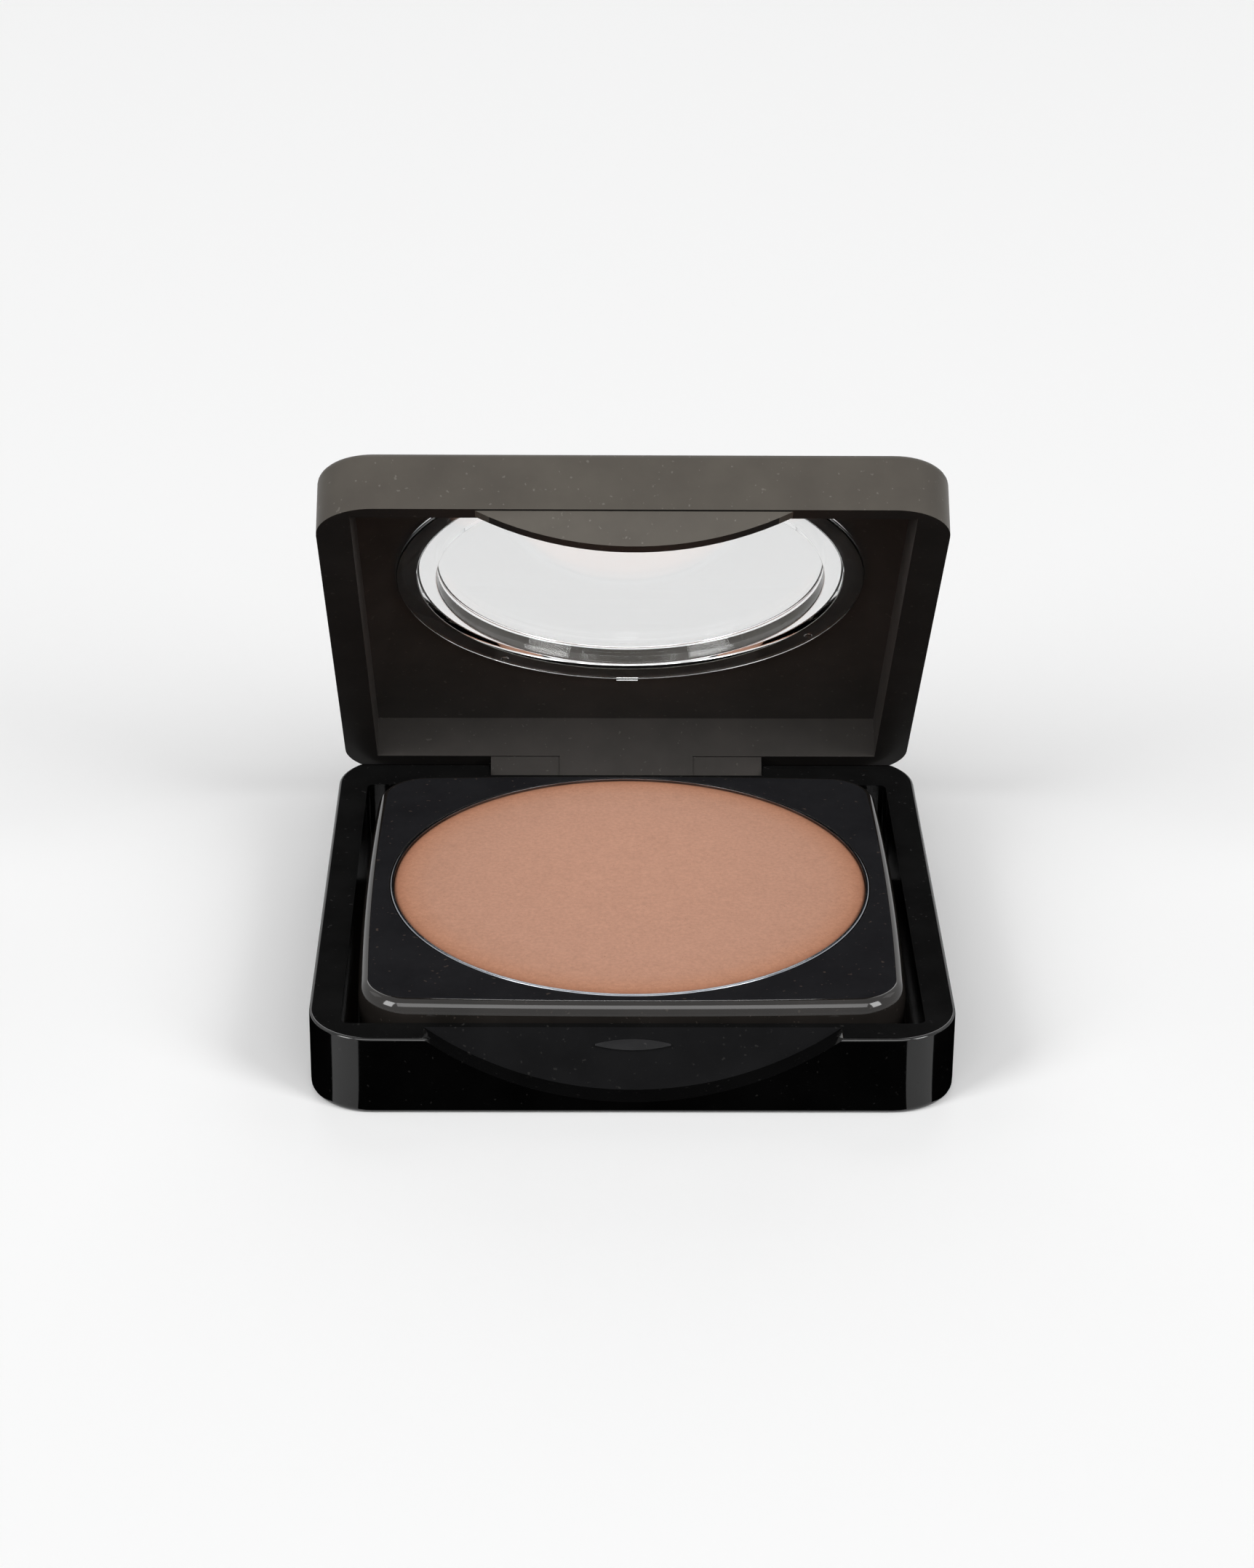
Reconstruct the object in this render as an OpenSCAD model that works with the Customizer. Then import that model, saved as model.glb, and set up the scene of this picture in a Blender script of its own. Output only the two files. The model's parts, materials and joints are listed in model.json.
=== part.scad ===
// Square powder compact with a hinged, windowed lid and one round pan.
// Millimetres, +Z up, front towards -Y. The origin is the middle of the underside.
// The lid and its window are drawn closed and swung open about the hinge pins.

/* [Base] */
// Width of the base
base_w = 48; // [44:1:72]
// Depth of the base, front to back
base_d = 48.4; // [47:1:72]
// Height of the base's rim above the table
base_h = 6.4; // [6:0.1:10]
// Plan radius of the base's corners
corner_r = 4.8; // [3:0.1:6]
// Thickness of the side and front walls
wall = 2.4; // [2:0.1:3]
// Thickness of the rear wall that holds the hinge
rear_wall = 5.25; // [5:0.1:7]
// Thickness of the floor under the tray
floor_t = 2; // [1.2:0.1:2.5]
// Plan radius of the well's corners
well_corner = 0.6; // [0.3:0.1:2]
// Rounding where the walls meet the underside
foot_round = 0.6; // [0.2:0.1:1]
// Rounding of the outer edge of the rim
rim_round = 0.2; // [0.1:0.05:0.4]

/* [Thumb scoop] */
// Radius of the scoop's arc, shared by the lid's tab
scoop_r = 25; // [20:1:32]
// Height of the arc's lowest point above the table
scoop_foot = 1.1; // [0.8:0.1:2]
// How far the scoop is sunk into the front wall
scoop_depth = 1.8; // [1.5:0.1:1.9]
// Width of the catch bead in the scoop
catch_w = 5.6; // [3:0.1:9]
// Height of the catch bead
catch_h = 0.8; // [0.5:0.1:1]
// How far the catch bead stands out of the scoop's back
catch_out = 0.25; // [0.1:0.05:0.3]
// Drop from the rim to the middle of the catch bead
catch_drop = 1.4; // [1.2:0.1:1.8]

/* [Lid] */
// Opening angle at which the lid is shown, where 0 is closed
lid_angle = 48.8; // [0:0.1:95]
// Reveal between the lid's sides and the base's sides
lid_reveal = 0.4; // [0:0.05:0.6]
// Reveal between the lid's front and the base's front
front_reveal = 0.2; // [0:0.05:0.3]
// Height of the lid's upright walls
lid_h = 4.8; // [4.5:0.1:7]
// Rise of the lid's top from its edges to the window
crown = 1; // [0.4:0.1:1.5]
// Rounding of the lid's outer top edge
lid_round = 0.7; // [0.3:0.1:1.2]
// Gap between the rims of the closed lid and the base
parting_gap = 0.2; // [0.1:0.05:0.3]
// Thickness of the lid's side walls
lid_side_wall = 2.65; // [1.5:0.05:2.8]
// Thickness of the lid's front wall
lid_front_wall = 1.4; // [1.3:0.1:2]
// Height of the lid's upright inner walls
lid_inner_h = 3.5; // [3:0.1:4]
// Rise of the roof inside the lid from its upright walls to the window's flange
roof_rise = 1; // [0.4:0.1:1.2]
// How far the tab hangs below the lid's rim
tab_h = 2.9; // [2:0.1:3.2]
// Thickness of the tab
tab_t = 1; // [0.8:0.1:1.2]
// Step from the lid's front face back to the tab's face
tab_step = 0.25; // [0.1:0.05:0.3]
// Bevel on the rim of the lid's rear wall, which lets it swing behind the base
rear_bevel = 1; // [0.8:0.1:1.3]

/* [Window] */
// Diameter of the hole in the lid
window_d = 33.6; // [28:0.1:34]
// Width of the flange outside the hole
flange_w = 1.6; // [1:0.1:2]
// Thickness of the flange
flange_t = 0.5; // [0.4:0.1:0.8]
// Thickness of the ring wall inside the hole
ring_wall = 1.5; // [1:0.1:2]
// Thickness of the clear pane
pane_t = 0.5; // [0.4:0.1:0.8]
// How far the pane's face stands proud of the lid
pane_proud = 0.2; // [0:0.05:0.3]
// Clearance round the window in its hole and at the lid's front wall
window_gap = 0.1; // [0.05:0.05:0.2]
// Diameter of the ejector pips on the flange
pip_d = 0.7; // [0.4:0.1:0.9]
// How far the pips stand out of the flange
pip_h = 0.12; // [0.05:0.01:0.2]
// Turn of the first pip from the rear, towards the left
pip_turn_left = 35; // [20:1:80]
// Turn of the second pip from the rear, towards the right
pip_turn_right = 56; // [20:1:80]
// Width of the trimmed gate at the flange's rear
gate_w = 1.8; // [1:0.1:3]
// How far the trimmed gate stands out of the flange
gate_out = 0.15; // [0.05:0.05:0.3]

/* [Hinge] */
// Distance of the hinge axis from the base's rear face and from its rim
hinge_inset = 1.6; // [1.5:0.1:2]
// Width of the lid's hinge tongue
tongue_w = 22.8; // [16:0.2:26]
// Width of the knuckle at each end of the tongue
knuckle_w = 5.8; // [4:0.2:7]
// Step from the tongue's face down to the knuckles
knuckle_step = 0.15; // [0.05:0.05:0.25]
// Side clearance of the tongue in the base's slot
tongue_gap = 0.15; // [0.15:0.05:0.4]
// Clearance round the parts of the hinge that swing
swing_gap = 0.2; // [0.15:0.05:0.3]
// Diameter of the hinge pins
pin_d = 1.1; // [0.9:0.1:1.3]
// How far each pin reaches into its knuckle
pin_grip = 5; // [3:0.1:5.6]
// Radial clearance of the pins in the knuckles
pin_play = 0.03; // [0.01:0.01:0.08]
// Radial clearance of the pins in the base
pin_fit = 0.01; // [0.01:0.005:0.03]
// How deep each pin's outer end sits below the base's side
pin_sunk = 0.8; // [0.5:0.1:1.5]

/* [Tray] */
// Height of the tray's deck above the base's rim
tray_rise = 1.4; // [0.6:0.1:1.8]
// Gap between the tray and the well at the sides
tray_side_gap = 1; // [0.6:0.1:1.5]
// Gap between the tray and the well at the front and back
tray_end_gap = 0.7; // [0.4:0.1:1]
// Plan radius of the tray's corners
tray_corner = 3.2; // [2:0.1:5]
// Outward bow of the tray's sides
tray_bow = 0.5; // [0:0.1:0.8]
// Rounding of the tray's top edge
tray_round = 0.6; // [0.2:0.1:0.8]
// Thickness of the tray's deck and skirt
tray_t = 1.1; // [0.9:0.1:1.4]
// Thickness of the adhesive under the tray
tray_glue_t = 0.25; // [0.1:0.05:0.4]
// Diameter of the adhesive under the tray
tray_glue_d = 30; // [10:1:34]

/* [Pan] */
// Outer diameter of the metal pan
pan_d = 37.5; // [30:0.1:37.8]
// Height of the metal pan
pan_h = 4.35; // [3:0.05:4.6]
// Sheet thickness of the metal pan
pan_t = 0.25; // [0.2:0.05:0.4]
// Radial clearance of the pan in the tray
pan_gap = 0.1; // [0.05:0.05:0.2]
// How far the pan's rim stands above the tray's deck
pan_proud = 0.05; // [0:0.05:0.2]
// Thickness of the adhesive under the pan
pan_glue_t = 0.2; // [0.1:0.05:0.3]
// Diameter of the adhesive under the pan
pan_glue_d = 19; // [8:1:28]
// Drop from the pan's rim to the powder's edge
powder_drop = 0.15; // [0.05:0.05:0.4]
// Rise of the pressed powder from its edge to its middle
powder_dome = 0.4; // [0.1:0.1:0.8]

/* [Hidden] */
$fn = 96;
past = 1;            // how far a cut runs past the face it opens
touch = 0.02;        // keeps a round off the flat face beside it
edge_steps = 5;      // facets across a rounded edge
corner_steps = 14;   // facets round a plan corner
side_steps = 10;     // facets along a bowed side
crown_facets = 64;   // facets round the raised middle of the lid and of its roof
dome_facets = 720;   // facets of the wide arc over the powder

hinge_y = base_d/2 - hinge_inset;
hinge_z = base_h - hinge_inset;
lid_rim = base_h + parting_gap;

well_w = base_w - 2*wall;
well_front = -base_d/2 + wall;
well_back = base_d/2 - rear_wall;
well_y = (well_front + well_back)/2;
well_d = well_back - well_front;

tray_w = well_w - 2*tray_side_gap;
tray_d = well_d - 2*tray_end_gap;
tray_foot = floor_t + tray_glue_t;
tray_top = base_h + tray_rise;
tray_seat_d = pan_d + 2*pan_gap;
pan_top = tray_top + pan_proud;
pan_foot = pan_top - pan_h;
tray_seat = pan_foot - pan_glue_t;
powder_edge = pan_top - powder_drop;
powder_d = pan_d - 2*pan_t;

lid_w = base_w - 2*lid_reveal;
lid_front = -base_d/2 + front_reveal;
lid_back = base_d/2;
lid_d = lid_back - lid_front;
lid_y = (lid_front + lid_back)/2;
lid_inner_w = lid_w - 2*lid_side_wall;
lid_inner_front = lid_front + lid_front_wall;
lid_inner_back = hinge_y - hinge_inset;
panel_z = lid_rim + lid_inner_h + roof_rise;
lid_top = lid_rim + lid_h + crown;

flange_r = window_d/2 + flange_w;
window_y = lid_inner_front + window_gap + flange_r;
ring_r = window_d/2 - window_gap;
flange_z = panel_z - flange_t;
pane_top = lid_top + pane_proud;

scoop_face = -base_d/2 + scoop_depth;
tab_front = lid_front + tab_step;
tab_back = tab_front + tab_t;

slot_w = tongue_w + 2*tongue_gap;
slot_floor = hinge_z - norm([hinge_inset, lid_rim - hinge_z]) - swing_gap;
corner_in = corner_r - sqrt(pow(corner_r, 2) - pow(corner_r - hinge_inset, 2));
pin_out = base_w/2 - corner_in - pin_sunk;
pin_in = tongue_w/2 - pin_grip;

// Closed outline of a rounded rectangle whose sides bow outwards to the full width and depth.
function outline(w, d, r, bow = 0) =
    let (hx = w/2 - bow, hy = d/2 - bow, mids = bow > 0 ? side_steps : 1)
    [for (k = [0:3])
        let (
            sx = (k == 0 || k == 3) ? 1 : -1,
            sy = (k < 2) ? 1 : -1,
            c = [sx*(hx - r), sy*(hy - r)],
            along_x = (k % 2 == 0),
            run = along_x ? 2*(hx - r) : 2*(hy - r),
            way = along_x ? [-sx, 0] : [0, -sy],
            last = c + r*[cos(90*k + 90), sin(90*k + 90)]
        )
        for (i = [0:corner_steps + mids - 1])
            let (p = i <= corner_steps
                ? c + r*[cos(90*k + 90*i/corner_steps), sin(90*k + 90*i/corner_steps)]
                : last + way*run*(i - corner_steps)/mids)
            [p.x + sign(p.x)*bow*abs(p.x)/hx*(1 - pow(p.y/hy, 2)),
             p.y + sign(p.y)*bow*abs(p.y)/hy*(1 - pow(p.x/hx, 2))]
    ];

// Solid rounded block lofted through its outlines, with a rounded foot and a rounded top edge.
module moulded_block(w, d, h, r, foot = 0, edge = 0, bow = 0) {
    turn = 90/edge_steps;
    foot_levels = foot > 0
        ? [for (i = [0:edge_steps]) [foot*(1 - cos(turn*i)), foot*(1 - sin(turn*i))]]
        : [[0, 0]];
    top_levels = edge > 0
        ? [for (i = [0:edge_steps]) [h - edge*(1 - sin(turn*i)), edge*(1 - cos(turn*i))]]
        : [[h, 0]];
    levels = concat(foot_levels, top_levels);
    rings = [for (l = levels) [for (p = outline(w - 2*l[1], d - 2*l[1], r - l[1], bow)) [p.x, p.y, l[0]]]];
    n = len(rings[0]);
    top_ring = len(rings) - 1;
    points = [for (ring = rings) each ring];
    sides = [for (j = [0:top_ring - 1]) for (i = [0:n - 1])
        [j*n + i, (j + 1)*n + i, (j + 1)*n + (i + 1)%n, j*n + (i + 1)%n]];
    foot_cap = [for (i = [0:n - 1]) i];
    top_cap = [for (i = [n - 1:-1:0]) top_ring*n + i];
    polyhedron(points, concat([foot_cap, top_cap], sides), convexity = 2);
}

// Rectangle centred on the origin with true arcs at its corners.
module round_rectangle(w, d, r) {
    square([w - 2*r, d], center = true);
    square([w, d - 2*r], center = true);
    for (x = [-1, 1]) for (y = [-1, 1]) translate([x*(w/2 - r), y*(d/2 - r)]) circle(r);
}

// Lays its children, drawn in the Y-Z plane, along X over the length l, centred.
module along_x(l) {
    rotate([90, 0, 90]) linear_extrude(l, center = true) children();
}

// Lays its children, drawn in the X-Z plane, along Y from y0 to y1.
module along_y(y0, y1) {
    translate([0, y1, 0]) rotate([90, 0, 0]) linear_extrude(y1 - y0) children();
}

// Round bar or bore on the hinge axis from x0 to x1.
module on_hinge(d, x0, x1) {
    translate([x0, hinge_y, hinge_z]) rotate([0, 90, 0]) cylinder(d = d, h = x1 - x0);
}

// Swings its children from the closed position to the opening angle.
module swung_open() {
    translate([0, hinge_y, hinge_z]) rotate([-lid_angle, 0, 0]) translate([0, -hinge_y, -hinge_z]) children();
}

// ---- base ----

module scoop_cut() {
    along_y(-base_d/2 - past, scoop_face) translate([0, scoop_foot + scoop_r]) circle(scoop_r);
}

// Lens-shaped bead that the lid's tab clicks over.
module catch_bead() {
    bead_r = (pow(catch_w/2, 2) + pow(catch_h/2, 2))/catch_h;
    translate([0, 0, base_h - catch_drop])
        along_y(scoop_face - catch_out, scoop_face + touch) intersection() {
        translate([0, bead_r - catch_h/2]) circle(bead_r);
        translate([0, catch_h/2 - bead_r]) circle(bead_r);
    }
}

// Everything above and behind the hinge axis but the round that the lid's rear edge rolls over.
module rear_edge_cut() {
    along_x(base_w + 2*past) difference() {
        translate([hinge_y, hinge_z]) square(hinge_inset + past);
        translate([hinge_y, hinge_z]) circle(hinge_inset - touch);
    }
}

module base_shell() {
    color([0.05, 0.05, 0.06]) {
        difference() {
            moulded_block(base_w, base_d, base_h, corner_r, foot_round, rim_round);
            translate([0, well_y, floor_t])
                linear_extrude(base_h) round_rectangle(well_w, well_d, well_corner);
            scoop_cut();
            rear_edge_cut();
            translate([-slot_w/2, lid_inner_back - swing_gap, slot_floor]) cube([slot_w, rear_wall, base_h]);
            for (side = [0, 1]) mirror([side, 0, 0])
                on_hinge(pin_d + 2*pin_fit, slot_w/2 - past, base_w/2 + past);
        }
        catch_bead();
    }
}

// ---- tray, pan and powder ----

module pan_tray() {
    pocket_w = tray_w - 2*tray_t;
    pocket_d = tray_d - 2*tray_t;
    color([0.1, 0.1, 0.11]) difference() {
        translate([0, well_y, tray_foot])
            moulded_block(tray_w, tray_d, tray_top - tray_foot, tray_corner, 0, tray_round, tray_bow);
        translate([0, well_y, tray_seat]) cylinder(d = tray_seat_d, h = tray_top);
        // hollow corners behind the round seat, open below
        difference() {
            translate([-pocket_w/2, well_y - pocket_d/2, tray_foot - past])
                cube([pocket_w, pocket_d, tray_top - tray_t - tray_foot + past]);
            translate([0, well_y, tray_foot - 2*past])
                cylinder(d = tray_seat_d + 2*tray_t, h = tray_top + 2*past);
        }
    }
}

module tray_adhesive() {
    color([0.85, 0.83, 0.75]) translate([0, well_y, floor_t]) cylinder(d = tray_glue_d, h = tray_glue_t);
}

module pan_adhesive() {
    color([0.85, 0.83, 0.75]) translate([0, well_y, tray_seat]) cylinder(d = pan_glue_d, h = pan_glue_t);
}

module powder_pan() {
    color([0.8, 0.81, 0.83]) translate([0, well_y, pan_foot]) rotate_extrude() difference() {
        square([pan_d/2, pan_h]);
        translate([-past, pan_t]) square([powder_d/2 + past, pan_h]);
    }
}

module pressed_powder() {
    fill_h = powder_edge - pan_foot - pan_t;
    dome_r = (pow(powder_d/2, 2) + pow(powder_dome, 2))/(2*powder_dome);
    color([0.75, 0.57, 0.49]) translate([0, well_y, pan_foot + pan_t]) rotate_extrude() {
        intersection() {
            square([powder_d/2, fill_h + powder_dome]);
            translate([0, fill_h + powder_dome - dome_r]) circle(dome_r, $fn = dome_facets);
        }
    }
}

// ---- hinge pins ----

module hinge_pin() {
    color([0.72, 0.72, 0.74]) on_hinge(pin_d, pin_in, pin_out);
}

module hinge_pin_right() {
    hinge_pin();
}

module hinge_pin_left() {
    mirror([1, 0, 0]) hinge_pin();
}

// ---- lid ----

module lid_outside() {
    hull() {
        translate([0, lid_y, lid_rim])
            moulded_block(lid_w, lid_d, lid_h, corner_r - lid_reveal, 0, lid_round);
        translate([0, window_y, lid_top - crown])
            cylinder(r = window_d/2 + window_gap, h = crown, $fn = crown_facets);
    }
}

// The room inside the lid: upright walls under a roof that rises to the window, as the crown does.
module lid_room() {
    inner_d = lid_inner_back - lid_inner_front;
    sill = lid_rim + lid_inner_h;
    translate([-lid_inner_w/2, lid_inner_front, lid_rim - past])
        cube([lid_inner_w, inner_d, lid_inner_h + past]);
    hull() {
        translate([-lid_inner_w/2, lid_inner_front, sill - touch]) cube([lid_inner_w, inner_d, touch]);
        translate([0, window_y, sill])
            cylinder(r = flange_r + window_gap, h = roof_rise, $fn = crown_facets);
    }
}

module rear_bevel_cut() {
    along_x(lid_w + 2*past) polygon([
        [lid_back - rear_bevel, lid_rim],
        [lid_back + past, lid_rim + rear_bevel + past],
        [lid_back + past, lid_rim - past],
        [lid_back - rear_bevel, lid_rim - past]
    ]);
}

// Side view of the tongue: a round end on the hinge axis under an upright web.
module tongue_profile(r) {
    translate([hinge_y, hinge_z]) circle(r);
    translate([hinge_y - r, hinge_z]) square([2*r, lid_rim + rear_bevel - hinge_z + past]);
}

module tongue() {
    along_x(tongue_w - 2*knuckle_w) tongue_profile(hinge_inset);
    along_x(tongue_w) tongue_profile(hinge_inset - knuckle_step);
}

// Crescent that hangs from the front wall into the scoop.
module tab() {
    along_y(tab_front, tab_back) intersection() {
        translate([0, lid_rim - tab_h + scoop_r]) circle(scoop_r);
        translate([-base_w/2, lid_rim - tab_h - past]) square([base_w, tab_h + past + tab_t]);
    }
}

module catch_groove() {
    translate([-catch_w/2 - swing_gap, tab_back - catch_out, base_h - catch_drop - catch_h/2 - swing_gap])
        cube([catch_w + 2*swing_gap, past, catch_h + 2*swing_gap]);
}

module lid_shell() {
    color([0.2, 0.19, 0.18]) swung_open() difference() {
        union() {
            difference() {
                lid_outside();
                lid_room();
                rear_bevel_cut();
                translate([0, window_y, lid_rim]) cylinder(d = window_d, h = lid_top);
            }
            tongue();
            tab();
        }
        catch_groove();
        for (side = [0, 1]) mirror([side, 0, 0])
            on_hinge(pin_d + 2*pin_play, pin_in - swing_gap, tongue_w/2 + past);
    }
}

// ---- window ----

module window_lens() {
    color([0.9, 0.93, 0.95, 0.35]) swung_open() translate([0, window_y, 0]) difference() {
        union() {
            translate([0, 0, flange_z]) cylinder(r = flange_r, h = flange_t);
            translate([0, 0, flange_z]) cylinder(r = ring_r, h = pane_top - flange_z);
            for (turn = [pip_turn_left, -pip_turn_right]) rotate([0, 0, turn])
                translate([0, (flange_r + ring_r)/2, flange_z - pip_h])
                    cylinder(d = pip_d, h = pip_h + touch);
            translate([-gate_w/2, ring_r, flange_z])
                cube([gate_w, flange_r + gate_out - ring_r, flange_t/2]);
        }
        translate([0, 0, flange_z - past])
            cylinder(r = ring_r - ring_wall, h = pane_top - pane_t - flange_z + past);
    }
}

base_shell();
pan_tray();
tray_adhesive();
pan_adhesive();
powder_pan();
pressed_powder();
hinge_pin_left();
hinge_pin_right();
lid_shell();
window_lens();
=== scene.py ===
import json
import math
import bmesh
import bpy
from mathutils import Matrix, Vector


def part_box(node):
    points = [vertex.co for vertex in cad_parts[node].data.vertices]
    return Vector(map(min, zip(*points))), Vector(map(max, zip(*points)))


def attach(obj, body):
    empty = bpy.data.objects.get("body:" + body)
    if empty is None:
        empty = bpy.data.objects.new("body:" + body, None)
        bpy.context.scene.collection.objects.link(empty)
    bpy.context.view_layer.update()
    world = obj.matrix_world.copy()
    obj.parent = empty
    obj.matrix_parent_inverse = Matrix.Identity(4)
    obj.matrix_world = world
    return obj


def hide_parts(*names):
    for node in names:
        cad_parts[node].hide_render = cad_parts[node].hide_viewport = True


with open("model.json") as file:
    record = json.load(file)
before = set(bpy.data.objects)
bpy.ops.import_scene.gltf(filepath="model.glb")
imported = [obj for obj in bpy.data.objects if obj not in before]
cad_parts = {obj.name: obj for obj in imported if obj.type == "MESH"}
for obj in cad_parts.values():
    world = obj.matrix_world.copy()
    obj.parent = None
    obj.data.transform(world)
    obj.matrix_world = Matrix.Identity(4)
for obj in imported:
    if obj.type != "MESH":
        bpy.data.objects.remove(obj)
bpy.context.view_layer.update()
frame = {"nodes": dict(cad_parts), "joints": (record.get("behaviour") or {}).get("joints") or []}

nodes = frame["nodes"]
mm = 0.001


def linear(r, g, b):
    # screen colour, 0 to 255, as the light value the shader wants
    out = []
    for c in (r, g, b):
        c = c/255
        out.append(c/12.92 if c <= 0.04045 else ((c + 0.055)/1.055)**2.4)
    return (*out, 1.0)


def newGroup(name, inputs, outputs):
    group = bpy.data.node_groups.new(name, "ShaderNodeTree")
    for label, kind, value in inputs:
        socket = group.interface.new_socket(label, in_out="INPUT", socket_type=kind)
        socket.default_value = value
    for label, kind in outputs:
        group.interface.new_socket(label, in_out="OUTPUT", socket_type=kind)
    return group, group.nodes.new("NodeGroupInput"), group.nodes.new("NodeGroupOutput")


def addNode(tree, kind, **settings):
    node = tree.nodes.new(kind)
    for key, value in settings.items():
        setattr(node, key, value)
    return node


def setOrLink(tree, socket, value):
    # value is either another node's output or a plain setting
    if hasattr(value, "links"):
        tree.links.new(value, socket)
    else:
        socket.default_value = value


def noiseNode(tree, coords, scale, detail=3.0, rough=0.55):
    node = addNode(tree, "ShaderNodeTexNoise")
    setOrLink(tree, node.inputs["Scale"], scale)
    node.inputs["Detail"].default_value = detail
    node.inputs["Roughness"].default_value = rough
    tree.links.new(coords, node.inputs["Vector"])
    return node.outputs["Fac"]


def mathNode(tree, operation, a, b=None, clamp=False):
    node = addNode(tree, "ShaderNodeMath", operation=operation, use_clamp=clamp)
    for i, value in enumerate((a, b)):
        if value is not None:
            setOrLink(tree, node.inputs[i], value)
    return node.outputs[0]


def remap(tree, value, low, high, toLow, toHigh):
    node = addNode(tree, "ShaderNodeMapRange")
    tree.links.new(value, node.inputs["Value"])
    for label, number in (("From Min", low), ("From Max", high), ("To Min", toLow), ("To Max", toHigh)):
        setOrLink(tree, node.inputs[label], number)
    return node.outputs[0]


def mixColour(tree, factor, a, b):
    node = addNode(tree, "ShaderNodeMix", data_type="RGBA")
    for socket, value in ((node.inputs[0], factor), (node.inputs[6], a), (node.inputs[7], b)):
        setOrLink(tree, socket, value)
    return node.outputs[2]


# noise scales, per metre; specks shows from and to which noise value dust sets in
skinLook = {"wave": 160.0, "smudge": 75.0, "speck": 2600.0, "specks": (0.71, 0.76), "smudgeShare": 0.2,
    "cloud": 220.0, "bumpDepth": 0.03*mm}


def makeMouldedSkin(look):
    # slow waviness of a moulded wall, a fine spark-eroded grain, finger smudges and dust
    group, given, out = newGroup("mouldedSkin",
        [("Grain Scale", "NodeSocketFloat", 9000.0), ("Grain", "NodeSocketFloat", 0.5),
         ("Wave", "NodeSocketFloat", 0.3), ("Smudge", "NodeSocketFloat", 0.3),
         ("Roughness", "NodeSocketFloat", 0.3)],
        [("Height", "NodeSocketFloat"), ("Rough", "NodeSocketFloat"), ("Dust", "NodeSocketFloat")])
    coords = addNode(group, "ShaderNodeTexCoord").outputs["Object"]
    grain = noiseNode(group, coords, given.outputs["Grain Scale"], 2.0)
    wave = noiseNode(group, coords, look["wave"], 1.0)
    smudge = noiseNode(group, coords, look["smudge"], 5.0, 0.7)
    speck = noiseNode(group, coords, look["speck"], 1.0)
    height = mathNode(group, "ADD",
        mathNode(group, "MULTIPLY", grain, given.outputs["Grain"]),
        mathNode(group, "MULTIPLY", wave, given.outputs["Wave"]))
    rough = mathNode(group, "ADD", given.outputs["Roughness"],
        mathNode(group, "MULTIPLY", remap(group, smudge, 0.35, 0.7, -0.5, 1.0),
            mathNode(group, "MULTIPLY", given.outputs["Smudge"], look["smudgeShare"])), clamp=True)
    group.links.new(height, out.inputs["Height"])
    group.links.new(rough, out.inputs["Rough"])
    group.links.new(remap(group, speck, *look["specks"], 0.0, 1.0), out.inputs["Dust"])
    return group


mouldedSkin = makeMouldedSkin(skinLook)


def startMaterial(name):
    mat = bpy.data.materials.new(name)
    mat.use_nodes = True
    return mat, mat.node_tree, mat.node_tree.nodes["Principled BSDF"]


def mouldedPlastic(name, look):
    mat, tree, shader = startMaterial(name)
    skin = addNode(tree, "ShaderNodeGroup", node_tree=mouldedSkin)
    for label in ("Grain Scale", "Grain", "Wave", "Smudge", "Roughness"):
        skin.inputs[label].default_value = look[label]
    coords = addNode(tree, "ShaderNodeTexCoord").outputs["Object"]
    cloud = noiseNode(tree, coords, skinLook["cloud"], 4.0)
    colour = mixColour(tree, remap(tree, cloud, 0.3, 0.7, 0.0, 1.0), look["dark"], look["light"])
    dusty = mixColour(tree, mathNode(tree, "MULTIPLY", skin.outputs["Dust"], look["dustiness"]),
        colour, look["dust"])
    tree.links.new(dusty, shader.inputs["Base Color"])
    tree.links.new(skin.outputs["Rough"], shader.inputs["Roughness"])
    bump = addNode(tree, "ShaderNodeBump")
    bump.inputs["Strength"].default_value = look["bump"]
    bump.inputs["Distance"].default_value = skinLook["bumpDepth"]
    tree.links.new(skin.outputs["Height"], bump.inputs["Height"])
    tree.links.new(bump.outputs["Normal"], shader.inputs["Normal"])
    shader.inputs["Specular IOR Level"].default_value = look["specular"]
    return mat


# Grain Scale is per metre, and the other numbers are shares
baseLook = {"dark": linear(2, 2, 2), "light": linear(5, 5, 5), "dust": linear(90, 88, 86),
    "dustiness": 0.10, "Grain Scale": 9000.0, "Grain": 0.05, "Wave": 0.3, "Smudge": 0.3,
    "Roughness": 0.07, "bump": 0.06, "specular": 0.5}
scoopLook = {"dark": linear(18, 18, 19), "light": linear(24, 24, 25), "dust": linear(90, 88, 86),
    "dustiness": 0.15, "Grain Scale": 6000.0, "Grain": 0.8, "Wave": 0.2, "Smudge": 0.2,
    "Roughness": 0.5, "bump": 0.3, "specular": 0.08}
lidLook = {"dark": linear(74, 70, 65), "light": linear(82, 78, 72), "dust": linear(150, 146, 140),
    "dustiness": 0.2, "Grain Scale": 7000.0, "Grain": 0.6, "Wave": 0.3, "Smudge": 0.3,
    "Roughness": 0.42, "bump": 0.25, "specular": 0.1}
# painted shade: the lid's inside is a darker copy of the lid's colour, for the shade it lies in
lidInsideShadeLook = {"dark": linear(52, 50, 48), "light": linear(59, 56, 54), "dust": linear(120, 116, 112),
    "dustiness": 0.15, "Grain Scale": 7000.0, "Grain": 0.6, "Wave": 0.3, "Smudge": 0.3,
    "Roughness": 0.5, "bump": 0.25, "specular": 0.05}
# painted light: the tab is a lighter copy of the lid's colour, for the light that falls on it
tabLitLook = {"dark": linear(83, 79, 74), "light": linear(91, 87, 81), "dust": linear(150, 146, 140),
    "dustiness": 0.25, "Grain Scale": 7000.0, "Grain": 0.7, "Wave": 0.3, "Smudge": 0.3,
    "Roughness": 0.42, "bump": 0.25, "specular": 0.1}
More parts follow.
